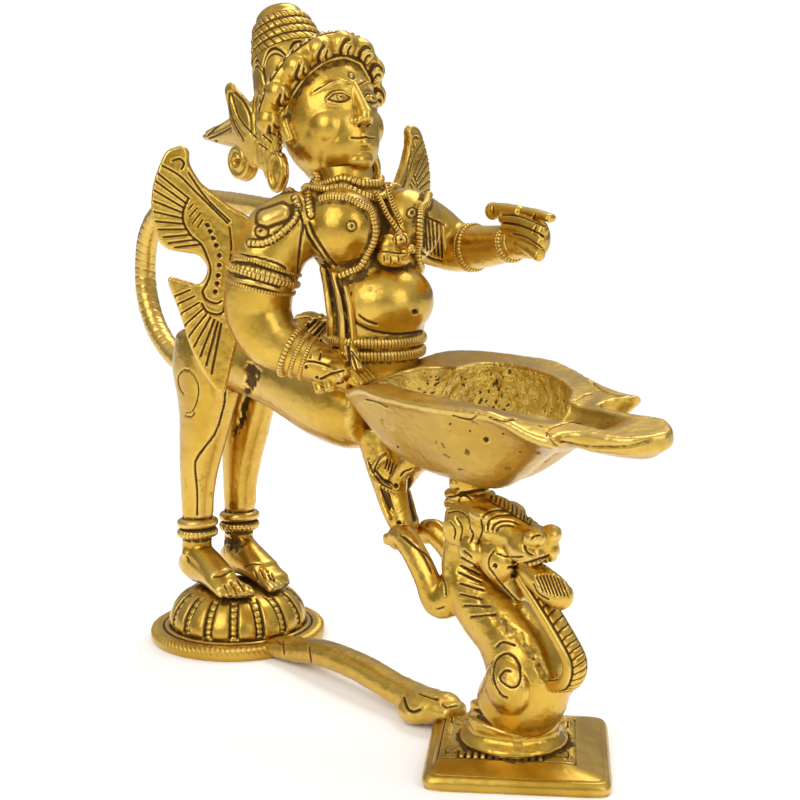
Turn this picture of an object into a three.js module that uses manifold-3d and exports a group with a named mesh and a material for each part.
// A cast brass oil lamp in the form of a winged garuda figure that holds a leaf-shaped bowl.
// Millimetres, z up. Points are written from the middle of the base disc's underside,
// with x running forward to the bowl's spout and y to the figure's left.

import * as THREE from 'three';
import { mergeVertices } from 'three/addons/utils/BufferGeometryUtils.js';
import Module from 'manifold-3d';

const wasm = await Module();
wasm.setup();

// Space left between two castings that meet
const gap = 0.3;

// Round base under the feet, with its fluted lotus dome
const discRadius = 24;
const discThick = 3.6;
const domeRadius = 18.4;
const domeTopRadius = 11;
const domeHeight = 10.4;
const domePetals = 16;
const petalDepth = 0.45;

// Square plinth under the rearing beast, turned so that a corner meets the bar
const plinthX = 112.4;
const plinthY = 2.4;
const plinthSide = 40;
const plinthEdge = 2.8;
const plinthTopSide = 31.5;
const plinthHeight = 4.8;
const plinthTurn = 46;
const collarRadius = 11.8;
const collarNeckRadius = 9.9;
const collarHeight = 8;

// Arched bar that ties the two bases together
const barWidth = 8;
const barThick = 6;
const barRise = 5.4;
const barLap = 7;

// Leaf-shaped bowl: middle of its well, tilt, depths and rim
const wellBehindPlinth = 11.8;
const rimZ = 81.2;
const bowlRoll = 10.7;
const bowlPitch = 2.2;
const wellRadius = 15.6;
const wellDepth = 13.5;
const bowlDepth = 20.6;
const flangeThick = 1.7;
const spoutDepth = 3.2;
const spoutWall = 2;

// Shallow hollow behind the well
const lobeBehindWell = 18.5;
const lobeLong = 8.6;
const lobeWide = 10.5;
const lobeDepth = 6;

// Figure: levels and lengths that place its trunk, chest and head
const hipBelowRim = 2.2;
const waistToWell = 37.2;
const waistRise = 9;
const torsoLength = 29;
const torsoLean = 7.4;
const neckLength = 24;
const neckLean = 13;
const wristRise = 5.8;
const armSpread = 21;
const frillLength = 19.4;
const frillSpread = 13;
const frillThick = 2.2;

// Legs and feet
const legSpread = 6.8;
const ankleRise = 15.4;
const ankletBead = 1.2;

const tailRadius = 3.1;
const tailReach = 47.6;

// Wings: thickness, root place, sweep back and how far the root runs into the shoulder
const wingThick = 2.2;
const wingRootX = 42.5;
const wingRootY = 24;
const rightWing = { sweep: 36, lean: 0, rise: 0, root: 3 };
const leftWing = { sweep: 30, lean: 9, rise: 4, root: 9 };

// Head: half sizes and backward tilt
const headDeep = 13;
const headWide = 11;
const headTall = 15;
const headTilt = 20;
const crownHeight = 23.8;
const diademRadius = 2.8;
const crownBands = 4;
const crownBandRise = 0.6;

// Breasts, and the cords and bands laid on the figure
const breastRadius = 9;
const breastSpread = 9.4;
const breastShare = 0.93;
const cordRadius = 1.2;
const bandRise = 1.2;

// Places that the sizes above lead to
const soleZ = discThick + domeHeight;
const ankletZ = soleZ + ankleRise;
const collarTop = plinthHeight + collarHeight;
const wellX = plinthX - wellBehindPlinth;
const bowlUnder = rimZ - bowlDepth;
const beastHeight = bowlUnder - collarTop;
const hipZ = rimZ - hipBelowRim;
const waistX = wellX - waistToWell;
const waistZ = hipZ + waistRise;
const shoulderX = waistX - torsoLean;
const shoulderZ = waistZ + torsoLength;
const headX = shoulderX - neckLean;
const headZ = shoulderZ + neckLength;
const wristZ = hipZ + wristRise;
const armDrop = shoulderZ - wristZ;

const degrees = THREE.MathUtils.degToRad;

function vec(point) {
  return new THREE.Vector3(point[0], point[1], point[2]);
}

function signedVolume(positions, indices) {
  const a = new THREE.Vector3();
  const b = new THREE.Vector3();
  const c = new THREE.Vector3();
  let sum = 0;
  for (let i = 0; i < indices.length; i += 3) {
    a.fromArray(positions, 3 * indices[i]);
    b.fromArray(positions, 3 * indices[i + 1]);
    c.fromArray(positions, 3 * indices[i + 2]);
    sum += a.dot(b.cross(c));
  }
  return sum / 6;
}

function middleOf(ring) {
  const middle = new THREE.Vector3();
  ring.forEach((p) => middle.addScaledVector(p, 1 / ring.length));
  return middle;
}

// Closed skin over a stack of rings with the same number of points. The stack is fanned
// shut at its two tips, or joined end to end into a band when it is endless.
function skin(rings, { endless = false, tips = null } = {}) {
  const ends = tips ?? [middleOf(rings[0]), middleOf(rings[rings.length - 1])];
  const sides = rings[0].length;
  const positions = [];
  for (const ring of rings) for (const p of ring) positions.push(p.x, p.y, p.z);
  const indices = [];
  for (let r = 0; r < rings.length - (endless ? 0 : 1); r += 1) {
    const above = ((r + 1) % rings.length) * sides;
    for (let s = 0; s < sides; s += 1) {
      const next = (s + 1) % sides;
      const a = r * sides + s;
      const b = r * sides + next;
      indices.push(a, b, above + next, a, above + next, above + s);
    }
  }
  if (!endless) {
    const last = (rings.length - 1) * sides;
    const first = positions.length / 3;
    for (const tip of ends) positions.push(tip.x, tip.y, tip.z);
    for (let s = 0; s < sides; s += 1) {
      const next = (s + 1) % sides;
      indices.push(first, next, s, first + 1, last + s, last + next);
    }
  }
  if (signedVolume(positions, indices) < 0) indices.reverse();
  const geometry = new THREE.BufferGeometry();
  geometry.setAttribute('position', new THREE.Float32BufferAttribute(positions, 3));
  geometry.setIndex(indices);
  return geometry;
}

// Cross-sections of a bar that swells and tapers along a smooth line through its stations.
// A station is [x, y, z, half size along 'across', half size the other way].
function sectionMaker(stations, sides, across) {
  const line = new THREE.CatmullRomCurve3(stations.map(vec), false, 'centripetal');
  const sizes = new THREE.CatmullRomCurve3(
    stations.map((s) => new THREE.Vector3(s[3], s[4] ?? s[3], 0)), false, 'catmullrom');
  const wide = vec(across);
  return (t, { shrink = 1, shift = 0, grow = 0 } = {}) => {
    const middle = line.getPoint(t);
    const ahead = line.getTangent(t);
    const size = sizes.getPoint(t);
    const one = wide.clone().addScaledVector(ahead, -wide.dot(ahead)).normalize();
    const two = new THREE.Vector3().crossVectors(ahead, one);
    middle.addScaledVector(ahead, shift);
    return Array.from({ length: sides }, (_, s) => {
      const turn = (2 * Math.PI * s) / sides;
      return middle.clone()
        .addScaledVector(one, (shrink * size.x + grow) * Math.cos(turn))
        .addScaledVector(two, (shrink * size.y + grow) * Math.sin(turn));
    });
  };
}

function limb(stations, { sides = 10, steps = 8, across = [0, 1, 0], round = 0 } = {}) {
  const section = sectionMaker(stations, sides, across);
  const rings = [];
  if (round > 0) rings.push(section(0, { shrink: 0.62, shift: -0.7 * round }));
  for (let i = 0; i <= steps; i += 1) rings.push(section(i / steps));
  if (round > 0) rings.push(section(1, { shrink: 0.62, shift: 0.7 * round }));
  const tips = [middleOf(section(0, { shift: -round })), middleOf(section(1, { shift: round }))];
  return skin(rings, { tips });
}

// Band worn on a limb: its inside follows the limb with the gap between, and its outside
// rises in beads from one place along the limb to another
function cuff(stations, { sides = 10, across = [0, 1, 0] }, low, high, beads, rise) {
  const section = sectionMaker(stations, sides, across);
  const rings = [section(low, { grow: gap })];
  const edge = 0.35 * rise;
  for (let b = 0; b < beads; b += 1) {
    const share = (k) => low + ((high - low) * (b + k)) / beads;
    rings.push(section(share(0), { grow: gap + edge }));
    rings.push(section(share(0.3), { grow: gap + rise }), section(share(0.7), { grow: gap + rise }));
  }
  rings.push(section(high, { grow: gap + edge }), section(high, { grow: gap }));
  rings.push(section((low + high) / 2, { grow: gap }));
  return skin(rings, { endless: true });
}

// Egg form with three half sizes, tilted back about the y axis
function egg(middle, halfSizes, tilt = 0, turn = 0, detail = 12) {
  const geometry = new THREE.SphereGeometry(1, detail, Math.round(0.7 * detail));
  geometry.rotateX(Math.PI / 2);
  geometry.scale(halfSizes[0], halfSizes[1], halfSizes[2]);
  geometry.rotateY(-degrees(tilt));
  geometry.rotateZ(degrees(turn));
  return geometry.translate(middle[0], middle[1], middle[2]);
}

// Ring of round section, squeezed to two half sizes, whose axis leans as asked
function hoop(middle, halfX, halfY, radius, { lean = 0, turn = 0, steps = 20, sides = 6 } = {}) {
  const geometry = new THREE.TorusGeometry(1, radius / Math.max(halfX, halfY), sides, steps);
  const flatten = Math.max(halfX, halfY);
  geometry.scale(halfX, halfY, flatten);
  geometry.rotateY(degrees(lean));
  geometry.rotateZ(degrees(turn));
  return geometry.translate(middle[0], middle[1], middle[2]);
}

function lathe(profile, steps, x, z) {
  const points = profile.map(([r, h]) => new THREE.Vector2(r, h));
  const geometry = new THREE.LatheGeometry(points, steps);
  geometry.rotateX(Math.PI / 2);
  return geometry.translate(x, 0, z);
}

// Stations or points written from an anchor, moved to their place
function from(anchor, stations) {
  return stations.map((s) => [s[0] + anchor[0], s[1] + anchor[1], s[2] + anchor[2], ...s.slice(3)]);
}

// Plate of an outline drawn in its own plane, with a softened edge
function plate(outline, thick, bevel, steps) {
  const line = outline.map(([u, v]) => new THREE.Vector3(u, v, 0));
  const curve = new THREE.CatmullRomCurve3(line, true, 'centripetal');
  const points = curve.getPoints(steps).slice(0, -1).map((p) => new THREE.Vector2(p.x, p.y));
  const geometry = new THREE.ExtrudeGeometry(new THREE.Shape(points), {
    depth: thick - 2 * bevel,
    bevelEnabled: bevel > 0,
    bevelThickness: bevel,
    bevelSize: bevel,
    bevelOffset: -bevel,
    bevelSegments: 1,
  });
  return geometry.translate(0, 0, bevel - thick / 2);
}

function bare(geometry) {
  const copy = geometry.clone();
  for (const name of Object.keys(copy.attributes)) {
    if (name !== 'position') copy.deleteAttribute(name);
  }
  return mergeVertices(copy, 1e-4);
}

function toSolid(geometry) {
  const merged = bare(geometry);
  return new wasm.Manifold(new wasm.Mesh({
    numProp: 3,
    vertProperties: new Float32Array(merged.attributes.position.array),
    triVerts: new Uint32Array(merged.index.array),
  }));
}

function toGeometry(solid) {
  const mesh = solid.getMesh();
  const geometry = new THREE.BufferGeometry();
  geometry.setAttribute('position', new THREE.BufferAttribute(new Float32Array(mesh.vertProperties), 3));
  geometry.setIndex(new THREE.BufferAttribute(new Uint32Array(mesh.triVerts), 1));
  return geometry;
}

// The same form grown outwards, so that what it cuts stays clear of it
function swollen(geometry, by) {
  const merged = bare(geometry);
  merged.computeVertexNormals();
  const p = merged.attributes.position;
  const n = merged.attributes.normal;
  for (let i = 0; i < p.count; i += 1) {
    p.setXYZ(i, p.getX(i) + by * n.getX(i), p.getY(i) + by * n.getY(i), p.getZ(i) + by * n.getZ(i));
  }
  return merged;
}

const pieces = new Map();

// Joins a sub-part's forms and cuts it clear of the sub-parts that it sits on
function make(name, forms, { clearOf = [], cut = [] } = {}) {
  let solid = toSolid(forms[0]);
  for (const form of forms.slice(1)) solid = solid.add(toSolid(form));
  for (const form of cut) solid = solid.subtract(toSolid(form));
  for (const other of clearOf) {
    for (const form of pieces.get(other).forms) solid = solid.subtract(toSolid(swollen(form, gap)));
  }
  pieces.set(name, { forms, solid });
}

function sides(build) {
  build('right', -1);
  build('left', 1);
}

function mirror(stations, side) {
  return stations.map((s) => [s[0], side * s[1], ...s.slice(2)]);
}

// Base disc with a rounded rim
function baseDisc() {
  make('base_disc', [lathe([
    [0, 0], [discRadius - 1, 0], [discRadius, 0.5 * discThick],
    [discRadius - 1, discThick], [0, discThick],
  ], 32, 0, 0)]);
}

// Lotus dome whose upright petals are rounded flutes
function lotusDome() {
  const around = 3 * domePetals;
  const shoulder = domeTopRadius - domeRadius;
  const levels = [[0, -0.5], [0.3, 0], [0.75, 0.5 * shoulder], [1, shoulder]];
  const rings = levels.map(([rise, inset]) => Array.from({ length: around }, (_, s) => {
    const turn = (2 * Math.PI * s) / around;
    const flute = rise > 0 && rise < 1 ? petalDepth * Math.cos(domePetals * turn) : 0;
    const r = domeRadius + inset + flute;
    return new THREE.Vector3(r * Math.cos(turn), r * Math.sin(turn), discThick + rise * domeHeight);
  }));
  make('lotus_dome', [skin(rings)]);
}

// Square ring with rounded corners
function squareRing(side, z, corner) {
  const half = side / 2 - corner;
  const turn = degrees(plinthTurn);
  const points = [];
  for (let q = 0; q < 4; q += 1) {
    const cx = plinthX + half * Math.SQRT2 * Math.cos((q + 0.5) * Math.PI / 2 + turn);
    const cy = plinthY + half * Math.SQRT2 * Math.sin((q + 0.5) * Math.PI / 2 + turn);
    for (let k = 0; k <= 3; k += 1) {
      const a = (q + k / 3) * Math.PI / 2 + turn;
      points.push(new THREE.Vector3(cx + corner * Math.cos(a), cy + corner * Math.sin(a), z));
    }
  }
  return points;
}

function plinth() {
  make('plinth', [skin([
    squareRing(plinthSide - 0.8, 0, 1.2),
    squareRing(plinthSide, 0.5, 1.4),
    squareRing(plinthSide, plinthEdge, 1.4),
    squareRing(plinthSide - 1, plinthEdge + 0.4, 1.4),
    squareRing(plinthTopSide, plinthHeight - 0.5, 1),
    squareRing(plinthTopSide - 0.6, plinthHeight, 1),
    squareRing(plinthTopSide - 3, plinthHeight, 1),
  ])]);
}

function plinthCollar() {
  const r = collarRadius;
  const n = collarNeckRadius;
  const h = collarHeight;
  make('plinth_collar', [lathe([
    [0, 0], [r - 0.4, 0], [r, 0.11 * h], [r - 0.6, 0.25 * h], [n, 0.42 * h],
    [n + 0.2, 0.65 * h], [n - 0.8, 0.85 * h], [n - 0.9, h], [0, h],
  ], 20, plinthX, plinthHeight)]);
}

// Bar that leaves the disc's rim, arches a little and lands on the plinth's corner
function baseBar() {
  const start = discRadius - 3;
  const end = plinthX - plinthSide / Math.SQRT2 + barLap;
  const w = barWidth / 2;
  const t = barThick / 2;
  const bar = [limb([
    [start, 0, t, w + 3, 2.2],
    [start + 6, 0, t + 0.2, w + 1, t],
    [start + 18, 0, barRise, w, t],
    [0.55 * start + 0.45 * end, 0, barRise + 0.2, w, t],
    [end - 20, 0, t + 1.2, w, t],
    [end - 11, 0, t + 1.4, w + 2.2, t + 0.9],
    [end - 5, 0, plinthHeight + 0.8, w + 1, t],
    [end, 0, plinthHeight + 1.2, w - 1, 1.8],
  ], { sides: 8, steps: 10, round: 1.2 })];
  make('base_bar', bar, { clearOf: ['base_disc', 'lotus_dome', 'plinth', 'plinth_collar'] });
}

// Stations of the rearing beast: x from the plinth's middle, z as a share of its height
function onBeast(stations) {
  return stations.map((s) => [s[0] + plinthX, s[1], collarTop + s[2] * beastHeight, ...s.slice(3)]);
}

// Rearing beast: haunches on the collar, deep chest, neck turned up to the head
function yaliBody() {
  make('yali_body', [limb(onBeast([
    [1.6, 0, 0.012, 8.8, 9], [4.9, 0, 0.109, 8.6, 9.4], [4.4, 0, 0.224, 8.2, 9.2], [-1, 0, 0.33, 7, 8.2],
    [-8.2, 0, 0.41, 6.4, 7.4], [-13.6, 0, 0.5, 6, 6.4], [-15.6, 0, 0.61, 5.2, 5.4],
    [-15, 0, 0.715, 4.6, 4.8], [-13, 0, 0.81, 4.2, 4.4],
  ]), { sides: 12, steps: 11 })], { clearOf: ['plinth_collar'] });
}

function yaliHead() {
  const forms = [
    limb(onBeast([
      [-18, 0, 0.81, 4.4, 4.4], [-13.4, 0, 0.83, 6, 5.6], [-6.6, 0, 0.835, 6.2, 5.8],
      [-0.4, 0, 0.82, 5.4, 4.6], [5, 0, 0.8, 4.8, 3.4], [9.8, 0, 0.808, 4.2, 2.8],
    ]), { sides: 8, steps: 6, round: 2.2 }),
    limb(onBeast([
      [-8.4, 0, 0.728, 4.4, 3.2], [-2.4, 0, 0.67, 3.8, 2.6], [2.2, 0, 0.6, 2.6, 1.8], [4.4, 0, 0.55, 1.5, 1],
    ]), { sides: 6, steps: 3, round: 1 }),
  ];
  make('yali_head', forms, { clearOf: ['yali_body'] });
}

function yaliTrim() {
  make('yali_tongue', [limb(onBeast([
    [3.6, 0, 0.7, 2.2, 1.6], [8.6, 0, 0.665, 2.6, 2.1], [15, 0, 0.6, 2.6, 2.3],
  ]), { sides: 8, steps: 4, round: 1.6 })], { clearOf: ['yali_head'] });
  make('yali_tail', [limb(onBeast([
    [4.2, 0, 0.61, 1.8, 1.4], [10.1, 0, 0.515, 2.3, 1.8], [16.1, 0, 0.4, 2.4, 1.9], [19.4, 0, 0.31, 2.4, 1.9],
    [18.2, 0, 0.222, 2.4, 1.9], [13.8, 0, 0.18, 2.2, 1.7],
  ]), { sides: 6, steps: 10, round: 0.8 })], { clearOf: ['yali_body', 'yali_head', 'yali_tongue'] });
  sides((name, side) => {
    make(`yali_${name}_foreleg`, [limb(mirror(onBeast([
      [-16, 4, 0.5, 2.6, 3.4], [-19.4, 5, 0.43, 2.6, 3.1], [-22.8, 5.2, 0.49, 2.3, 2.6],
      [-28, 5, 0.61, 2.3, 2.5], [-33, 4.6, 0.67, 2.5, 2.6], [-36.4, 4.4, 0.63, 2.1, 2.5],
    ]), side), { sides: 8, steps: 8, round: 1 })], { clearOf: ['yali_body'] });
    const haunch = egg(onBeast([[6.4, side * 7.4, 0.17]])[0], [5.4, 2.8, 5.4], 0, 0, 8);
    make(`yali_${name}_haunch`, [haunch], { clearOf: ['yali_body', 'plinth_collar'] });
    const ear = egg(onBeast([[-16.4, side * 5.6, 0.83]])[0], [3.4, 1.5, 2.6], 20, side * 12, 6);
    make(`yali_${name}_ear`, [ear], { clearOf: ['yali_head', 'yali_body'] });
  });
}

// Leaf outline as turn from the spout and reach from the well's middle
const leafReach = [
  [0, 52.8], [3.2, 52], [6.4, 49.6], [8.8, 45], [10.6, 39], [12.6, 33], [18, 33.2], [23.4, 35.4],
  [30, 28.4], [45, 25.6], [62, 24.4], [80, 23.8], [100, 24], [120, 25.4], [138, 27.8], [154, 31.4],
  [168, 32], [180, 31.4],
];
const wellReach = [
  [0, 49], [2.6, 48], [4.8, 44.6], [6.6, 38], [8.6, 30], [14, 24.4], [24, 21.5], [40, 18.2],
  [60, wellRadius + 0.6], [90, wellRadius], [120, wellRadius + 0.8], [150, wellRadius + 1.4],
  [180, wellRadius + 1.8],
];

function reachAt(table, turn) {
  const t = Math.abs(turn);
  const i = Math.max(1, table.findIndex(([end]) => t <= end));
  const [t0, r0] = table[i - 1];
  const [t1, r1] = table[i];
  return r0 + ((r1 - r0) * (t - t0)) / (t1 - t0);
}

function placeInBowl(geometry) {
  geometry.rotateY(degrees(bowlPitch));
  geometry.rotateX(degrees(bowlRoll));
  return geometry.translate(wellX, 0, rimZ);
}

// Bowl as rings around its well: underside, rim, and down again into the well and the spout
function lampBowl() {
  const half = leafReach.map(([turn]) => turn);
  const turns = half.concat(half.slice(1, -1).map((turn) => -turn).reverse());
  const ring = (radius, height) => turns.map((t) => {
    const r = radius(t);
    return new THREE.Vector3(r * Math.cos(degrees(t)), r * Math.sin(degrees(t)), height(t));
  });
  const outer = wellRadius + 4;
  const body = (share, drop) => ring(
    (t) => share * outer * (1 + 0.22 * Math.cos(degrees(t)) ** 2), () => -drop * bowlDepth);
  const leaf = (t) => reachAt(leafReach, t);
  const well = (t) => Math.min(reachAt(wellReach, t), leaf(t) - spoutWall);
  const inSpout = (t) => Math.abs(t) < 13;
  const keel = (t) => (inSpout(t) ? spoutDepth + flangeThick : flangeThick);
  const wellSide = (t) => (inSpout(t) ? -spoutDepth - 0.5 : -0.75 * wellDepth);
  const rings = [
    body(0.34, 1),
    body(0.66, 0.9),
    body(0.9, 0.66),
    body(1, 0.4),
    ring((t) => Math.max(0.9 * outer, leaf(t) - 1.6), (t) => -keel(t) - 0.6),
    ring(leaf, (t) => -0.5 * keel(t)),
    ring((t) => leaf(t) - 0.3, () => 0),
    ring(well, () => -0.1),
    ring((t) => 0.94 * well(t), (t) => (inSpout(t) ? -spoutDepth : -0.5 * wellDepth)),
    ring((t) => 0.9 * Math.min(well(t), 1.2 * wellRadius), wellSide),
    ring(() => 0.72 * wellRadius, () => -wellDepth),
  ];
  const lobe = egg([-lobeBehindWell, 0, 0], [lobeLong, lobeWide, lobeDepth], 0, 0, 9);
  make('lamp_bowl', [placeInBowl(skin(rings))], { cut: [placeInBowl(lobe)] });
}

// What carries the bowl: a lug on the beast's head and a carved post from its paws
function bowlSupports() {
  make('bowl_lug', [limb([
    [wellX - 3.4, 0, bowlUnder - 6, 4.6, 6], [wellX - 2.6, 0, bowlUnder - 2, 4, 4.6],
    [wellX - 2, 0, bowlUnder + 4, 5.4, 7],
  ], { sides: 10, steps: 4 })], { clearOf: ['yali_head', 'lamp_bowl', 'yali_right_ear', 'yali_left_ear'] });
  make('carved_post', [
    limb(from([wellX, 0, hipZ], [
      [-36.6, 0, -13, 4.4, 5.4], [-34, 0, -19, 4.2, 5], [-31, 0, -25, 3.8, 4.6], [-28, 0, -30, 3.6, 4.4],
      [-24.8, 0, -34, 3, 3.4],
    ]), { sides: 10, steps: 6 }),
    limb(from([wellX, 0, hipZ], [
      [-30, 0, -26, 3, 2.4], [-24, 0, -19.5, 3.2, 2.6], [-17.4, 0, -14.6, 3.6, 3],
    ]), { sides: 8, steps: 4 }),
  ], { clearOf: ['lamp_bowl', 'yali_right_foreleg', 'yali_left_foreleg'] });
}

// Lower body that runs from the hips forward to the waist
function bodyTrunk() {
  const along = [
    [-0.205, 0, 7, 4], [-0.142, 0, 11.5, 7.6], [0, 0, 13.4, 9.4], [0.22, -0.4, 13, 10],
    [0.47, -2.6, 12.4, 10.8], [0.71, -5.6, 12.2, 11.6], [0.88, -7.2, 11, 11], [0.99, -8.4, 8.6, 8.8],
  ];
  const stations = along.map(([share, drop, wide, deep]) => [share * waistX, 0, hipZ + drop, wide, deep]);
  const trunk = limb(stations, { sides: 12, steps: 9, round: 2 });
  make('body_trunk', [trunk], { clearOf: ['lamp_bowl', 'carved_post'] });
}

function legs() {
  sides((name, side) => {
    const y = side * legSpread;
    make(`${name}_foot`, [
      limb([
        [-15, y, soleZ + 4.6, 3.6, 3.4], [-10.5, y, soleZ + 5.2, 4.6, 5], [-3, y, soleZ + 4.2, 4.6, 4.4],
        [4.5, y + 0.4 * side, soleZ + 2.4, 5, 2.8], [11, y + 0.6 * side, soleZ + 1.2, 4.6, 1.7],
      ], { sides: 8, steps: 5, round: 1 }),
      limb([[-9.4, y, ankletZ, 4.2, 4.4], [-9.8, y, soleZ + 8, 4.4, 5], [-10.4, y, soleZ + 4, 4.2, 5]],
        { sides: 8, steps: 1 }),
    ], { clearOf: ['lotus_dome'] });
    const rise = hipZ - ankletZ;
    const upTo = (share) => ankletZ + gap + share * rise;
    const leg = [
      [-9.4, y, upTo(0), 4.4, 4.6], [-9.2, y, upTo(0.17), 4.8, 5], [-7.8, y, upTo(0.37), 5.3, 6.2],
      [-5.2, y, upTo(0.58), 5.6, 7.2], [-3.4, y, upTo(0.78), 6.6, 9.8], [-4, y, upTo(0.96), 7.2, 11.2],
      [-4.6, y, upTo(1.1), 6.4, 9.4],
    ];
    const other = side < 0 ? [] : ['right_leg'];
    const met = ['body_trunk', `${name}_foot`, ...other];
    make(`${name}_leg`, [limb(leg, { sides: 10, steps: 9 })], { clearOf: met });
    const shin = [
      [-9.7, y, ankletZ - 3.2, 4.6, 5], [-9.5, y, ankletZ, 4.6, 4.9], [-9.3, y, ankletZ + 3.4, 4.7, 4.9],
    ];
    make(`${name}_anklet`, [cuff(shin, { sides: 10 }, 0, 1, 2, ankletBead)]);
  });
}

// Tail that leaves the rump, rises in a wide curve and comes forward between the shoulders
function tail() {
  const back = (share) => -share * tailReach;
  make('tail', [limb([
    [-8, 0, hipZ - 5, tailRadius], [back(0.46), 0, hipZ - 7, tailRadius],
    [back(0.71), 0, hipZ - 3.2, tailRadius], [back(0.9), 0, hipZ + 3.6, tailRadius],
    [back(1), 0, hipZ + 13, tailRadius],
    [back(1), 0, shoulderZ - 16, tailRadius], [back(0.925), 0, shoulderZ - 7, tailRadius],
    [back(0.756), 0, shoulderZ - 0.6, tailRadius - 0.2], [back(0.46), 0, shoulderZ + 2.6, tailRadius - 0.3],
    [back(0.08), 0, shoulderZ + 2.4, tailRadius - 0.4], [shoulderX - 36, 0, shoulderZ + 1, tailRadius - 0.5],
    [shoulderX - 6, 0, shoulderZ - 0.6, tailRadius - 0.6],
  ], { sides: 8, steps: 16 })], { clearOf: ['body_trunk', 'right_leg', 'left_leg', 'torso', 'neck'] });
}

// Stations of the torso: x from the waist, z as a share of its length above the waist
function onTorso(stations) {
  return stations.map((s) => [s[0] + waistX, s[1], waistZ + s[2] * torsoLength, ...s.slice(3)]);
}

const chest = { sides: 12 };
const chestLine = onTorso([
  [-1.4, 0, -0.31, 11.6, 10], [0, 0, -0.034, 12, 10.6], [0.8, 0, 0.276, 13, 11.4], [-2, 0, 0.62, 12.6, 9.6],
  [-6, 0, 0.862, 16.2, 8], [-7.2, 0, 1.069, 17.6, 7.8], [-9, 0, 1.207, 10.6, 6.6],
]);
const neckLine = [[-1.8, 0, 3, 7.6, 7.8], [-3.6, 0, 8, 7.2, 7.4], [-6, 0, 13.4, 7, 6.8]];

function torso() {
  const belly = onTorso([[2.8, 0, 0.345]])[0];
  const breast = (side) => egg(
    onTorso([[0, side * breastSpread, breastShare]])[0], [breastRadius, breastRadius, breastRadius], 0, 0, 8);
  make('torso', [
    limb(chestLine, { ...chest, steps: 9 }),
    egg(belly, [12.6, 12.4, 9.4], 0, 0, 8),
    breast(-1),
    breast(1),
  ], { clearOf: ['body_trunk', 'lamp_bowl'] });
  const neck = limb(from([shoulderX, 0, shoulderZ], neckLine), { sides: 10, steps: 3 });
  make('neck', [neck], { clearOf: ['torso'] });
}

// Right arm: x and y from the shoulder, z as a share of the drop to the wrist
const rightArmLine = [
  [0, 5.5, 0, 8, 8], [-1.6, -0.5, 0.155, 8.2, 8.2], [-3.4, -3.6, 0.435, 8, 7.8], [-4.2, -4, 0.668, 7.6, 7.4],
  [-0.6, -2.4, 0.851, 6.2, 6.2], [4, 1.2, 0.95, 5, 5], [6.4, 3.4, 1, 4.6, 4.6],
].map((s) => [s[0] + shoulderX, s[1] - armSpread, shoulderZ - s[2] * armDrop, ...s.slice(3)]);
const leftArmLine = from([shoulderX, armSpread, shoulderZ], [
  [0, -6, -1, 8, 7.6], [1, 0.5, -4.6, 7.4, 7], [5.6, 5.4, -8, 6, 5.6], [14, 6.4, -7.6, 5, 4.8],
  [22, 5.8, -6.4, 4.4, 4.2], [27.4, 5.2, -5.6, 4, 3.8],
]);
const rightArmForm = { sides: 10, steps: 11, across: [0.5, 0.86, 0] };
const leftArmForm = { sides: 10, steps: 10, across: [0, 0, 1] };

function arms() {
  const rightWrist = [shoulderX, -armSpread, wristZ];
  const leftShoulder = [shoulderX, armSpread, shoulderZ];
  make('right_arm', [limb(rightArmLine, rightArmForm)], { clearOf: ['torso', 'body_trunk', 'lamp_bowl'] });
  make('left_arm', [limb(leftArmLine, leftArmForm)], { clearOf: ['torso'] });
  make('right_hand', [
    limb(from(rightWrist, [
      [6.8, 3.6, -0.2, 4.4, 4], [10, 6.4, -1.8, 5, 3.6], [14.5, 9, -3.2, 5, 3], [18, 10.4, -4.8, 3.8, 2.4],
    ]), { sides: 8, steps: 4, round: 1, across: [0.5, 0.86, 0] }),
    limb(from(rightWrist, [
      [13, 5.4, -5.2, 1.8, 1.6], [18, 6.4, -8, 1.8, 1.6],
    ]), { sides: 6, steps: 2, round: 1.2 }),
  ], { clearOf: ['right_arm', 'lamp_bowl', 'torso', 'body_trunk'] });
  const finger = (stations) => limb(from(leftShoulder, stations), { sides: 6, steps: 2, round: 0.8 });
  make('left_hand', [
    limb(from(leftShoulder, [
      [27.8, 5.2, -5.4, 4, 3.6], [31, 5, -4.4, 4.8, 3.2], [35, 4.8, -3, 4.6, 2.6],
    ]), { sides: 8, steps: 2, round: 1 }),
    finger([[32, 3, -2.8, 1.7, 1.5], [36.4, 2.6, 0.4, 1.7, 1.4], [40, 3, 1.2, 1.4, 1.2]]),
    finger([[33, 7.4, -4, 1.7, 1.5], [37, 7.6, -7.4, 1.6, 1.5], [38.6, 7.4, -9.4, 1.3, 1.2]]),
    finger([[29, 2.4, -4, 1.8, 1.6], [29.4, 0.8, 0.6, 1.6, 1.5], [32.6, 1, 3, 1.4, 1.3]]),
  ], { clearOf: ['left_arm'] });
  make('right_armlet', [cuff(rightArmLine, rightArmForm, 0.26, 0.4, 2, bandRise)], { clearOf: ['torso'] });
  make('right_bracelet', [cuff(rightArmLine, rightArmForm, 0.85, 0.93, 1, bandRise)],
    { clearOf: ['right_hand', 'lamp_bowl', 'body_trunk', 'torso'] });
  make('left_armlet', [cuff(leftArmLine, leftArmForm, 0.5, 0.58, 1, 0.8 * bandRise)], { clearOf: ['torso'] });
  make('left_bracelet', [cuff(leftArmLine, leftArmForm, 0.88, 0.96, 1, 0.8 * bandRise)],
    { clearOf: ['left_hand'] });
}

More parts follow.
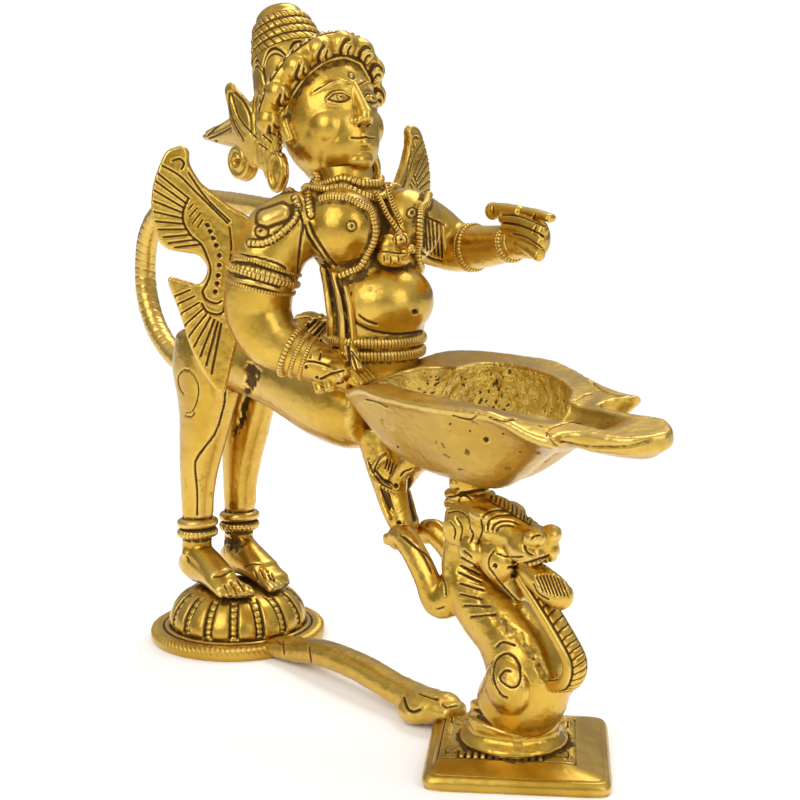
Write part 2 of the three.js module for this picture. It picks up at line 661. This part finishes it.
// Wing outline: distance out from the root and height over the hips, up the scalloped edge
const wingEdge = [
  [8.8, 46.2], [11.1, 50.4], [11.2, 53.2], [12.5, 54.6], [14.4, 54.2], [16.5, 53], [18.2, 49.4],
  [19.5, 45.4], [20, 40.8], [19.7, 36.8], [18.8, 33.2], [16.7, 30.9], [13.6, 30.1], [9.4, 29.2],
  [7.5, 25.9], [9.4, 22.6], [12.6, 23.3], [16.1, 24.3], [16.5, 22.6], [14.8, 17.8], [13.3, 13.1],
  [11.8, 7.5], [8.2, 0.2], [5.1, -3.4], [3.6, -2], [1.6, 6],
];

function wings() {
  sides((name, side) => {
    const { sweep, lean, rise, root } = side < 0 ? rightWing : leftWing;
    const outline = wingEdge.concat([[-0.4 * root, 16], [-root, 26], [-root, 37], [2, 40.6]]);
    const form = plate(outline, wingThick, 0.5, 30);
    form.rotateX(Math.PI / 2);
    form.translate(0, 0, rise);
    form.rotateY(-degrees(lean));
    form.rotateZ(side * degrees(90 + sweep));
    form.translate(wingRootX, side * wingRootY, hipZ);
    const met = [`${name}_arm`, 'torso', 'body_trunk', `${name}_armlet`, `${name}_leg`];
    make(`${name}_wing`, [form], { clearOf: met });
  });
}

function head() {
  make('head', [
    egg([headX, 0, headZ], [headDeep, headWide, headTall], headTilt, 0, 12),
    egg([headX + 0.92 * headDeep, 0, headZ + 4], [2.6, 1.7, 3.4], headTilt, 0, 6),
    egg([headX + 0.74 * headDeep, 0, headZ - 0.59 * headTall], [5, 5.4, 4.6], headTilt, 0, 8),
  ], { clearOf: ['neck'] });
  const brow = [headX - 2.6, 0, headZ + 6.6];
  const roll = hoop(brow, 0.95 * headDeep, 1.05 * headWide, diademRadius, { lean: -40, steps: 14 });
  make('diadem', [roll], { clearOf: ['head'] });
  const up = (share) => share * crownHeight;
  const bandsFrom = 0.5;
  const bandsTo = 0.88;
  const bands = [];
  for (let b = 0; b < crownBands; b += 1) {
    const share = bandsFrom + ((bandsTo - bandsFrom) * b) / crownBands;
    const step = (bandsTo - bandsFrom) / crownBands;
    const radius = (at) => 9.8 - 8.4 * (at - bandsFrom);
    bands.push([radius(share), up(share)]);
    bands.push([radius(share + 0.3 * step) + crownBandRise, up(share + 0.3 * step)]);
    bands.push([radius(share + 0.7 * step) + crownBandRise, up(share + 0.7 * step)]);
  }
  const crown = lathe([
    [0, 0], [11, 0], [11.6, up(0.13)], [10.4, up(0.34)], ...bands,
    [6, up(bandsTo)], [4, up(0.97)], [0, up(1)],
  ], 12, 0, 0);
  crown.rotateY(-degrees(headTilt));
  crown.translate(headX - 11, 0, headZ + 4.6);
  make('topknot', [crown], { clearOf: ['head', 'diadem'] });
  const nape = [headX, 0, headZ];
  make('back_plume', [limb(from(nape, [
    [-17, 0, 2, 7, 4], [-29, 0, -1, 5.6, 2.6], [-42, 0, -3, 4, 1.8], [-55, 0, -4.4, 1.2, 0.9],
  ]), { sides: 8, steps: 5 })], { clearOf: ['head', 'topknot', 'diadem'] });
  sides((name, side) => {
    make(`${name}_ear_ornament`, [limb(mirror(from(nape, [
      [-13, 11.4, -9, 1.7, 3.8], [-17, 12.6, -2, 1.5, 3.4], [-21.6, 13.4, 6, 0.9, 1.6],
    ]), side), { sides: 8, steps: 5 })], { clearOf: ['head', 'diadem', 'topknot', 'back_plume'] });
    make(`${name}_hair_lock`, [limb(mirror(from(nape, [
      [-7, 10.6, 3, 1.9, 5], [-7, 11.4, -5, 2.1, 5], [-5, 11.2, -13.5, 1.7, 3.6],
    ]), side), { sides: 6, steps: 4, round: 1 })],
      { clearOf: ['head', 'diadem', 'topknot', 'torso', 'neck', `${name}_ear_ornament`, `${name}_arm`] });
    const curl = egg([headX - 20, side * 10.4, headZ - 10.8], [6, 3, 5.4], 0, side * 14, 7);
    const beside = ['head', `${name}_hair_lock`, `${name}_ear_ornament`];
    make(`${name}_side_curl`, [curl], { clearOf: [...beside, 'tail', 'torso', 'topknot', 'back_plume'] });
    const drop = egg([headX + 0.4, side * 12.8, headZ - 13.4], [3.4, 1.7, 5], 0, side * 10, 7);
    make(`${name}_earring`, [drop],
      { clearOf: ['head', `${name}_hair_lock`, `${name}_arm`, 'torso', 'neck', `${name}_side_curl`] });
  });
}

function ornaments() {
  const aroundRight = ['right_arm', 'right_bracelet', 'right_hand'];
  const hair = ['right_hair_lock', 'left_hair_lock'];
  make('waist_belt', [cuff(chestLine, chest, 0.13, 0.23, 2, bandRise)],
    { clearOf: ['body_trunk', 'lamp_bowl', ...aroundRight] });
  make('necklace', [cuff(from([shoulderX, 0, shoulderZ], neckLine), {}, 0.22, 0.6, 2, 1.7 * bandRise)],
    { clearOf: ['torso', 'right_arm', 'left_arm', 'right_earring', 'left_earring', ...hair, 'tail'] });
  sides((name, side) => {
    const ring = breastRadius + 0.2;
    const middle = onTorso([[2.4, side * (breastSpread + 0.4), breastShare - 0.006]])[0];
    const cord = hoop(middle, ring, ring, cordRadius, { lean: 78, turn: side * 16, steps: 12, sides: 5 });
    const other = side < 0 ? [] : ['right_breast_cord'];
    make(`${name}_breast_cord`, [cord], { clearOf: ['torso', `${name}_arm`, 'necklace', ...other] });
  });
  make('pendant', [limb(onTorso([
    [4, 0, 1.138, 1.6, 1.3], [7.4, 0, 0.966, 2, 1.8], [10, 0, 0.793, 3.4, 2.4], [10.4, 0, 0.641, 2.8, 1.8],
  ]), { sides: 8, steps: 4, round: 1 })],
    { clearOf: ['torso', 'neck', 'necklace', 'right_breast_cord', 'left_breast_cord'] });
  make('sash', [limb(onTorso([
    [2.2, -12.2, 0.62, 1.7, 2.4], [3.6, -13.2, 0.379, 1.7, 2.6], [3.6, -13.4, 0.221, 1.7, 2.6],
  ]), { sides: 8, steps: 4 })],
    { clearOf: ['torso', 'body_trunk', 'waist_belt', 'lamp_bowl', 'right_breast_cord', ...aroundRight] });
  sides((name, side) => {
    const leaf = [[0, 0], [0.155, 10.6], [0.433, 13.6], [0.753, 12.6], [1, 8.6], [0.845, 2], [0.619, -2.4]];
    const fan = plate(leaf.map(([u, v]) => [u * frillLength, v]), frillThick, 0.4, 14);
    fan.rotateX(Math.PI / 2);
    fan.rotateZ(side * degrees(-8));
    fan.translate(waistX - frillLength, side * frillSpread, hipZ + 2.4);
    const met = ['torso', 'body_trunk', 'waist_belt', 'sash', 'lamp_bowl', `${name}_wing`];
    make(`${name}_hip_frill`, [fan], { clearOf: [...met, ...aroundRight] });
  });
}

baseDisc();
lotusDome();
plinth();
plinthCollar();
baseBar();
yaliBody();
yaliHead();
yaliTrim();
lampBowl();
bowlSupports();
bodyTrunk();
torso();
legs();
tail();
arms();
wings();
head();
ornaments();

const figurine = new THREE.Group();
for (const [name, { solid }] of pieces) {
  const brass = new THREE.MeshStandardMaterial({ color: 0xb98a2c, roughness: 0.3, metalness: 1 });
  const mesh = new THREE.Mesh(toGeometry(solid), brass);
  mesh.name = name;
  figurine.add(mesh);
}

// The finished part stands with the middle of its outline over the origin
const outline = new THREE.Box3().setFromObject(figurine);
figurine.position.x = -(outline.min.x + outline.max.x) / 2;
figurine.position.y = -(outline.min.y + outline.max.y) / 2;

export default figurine;
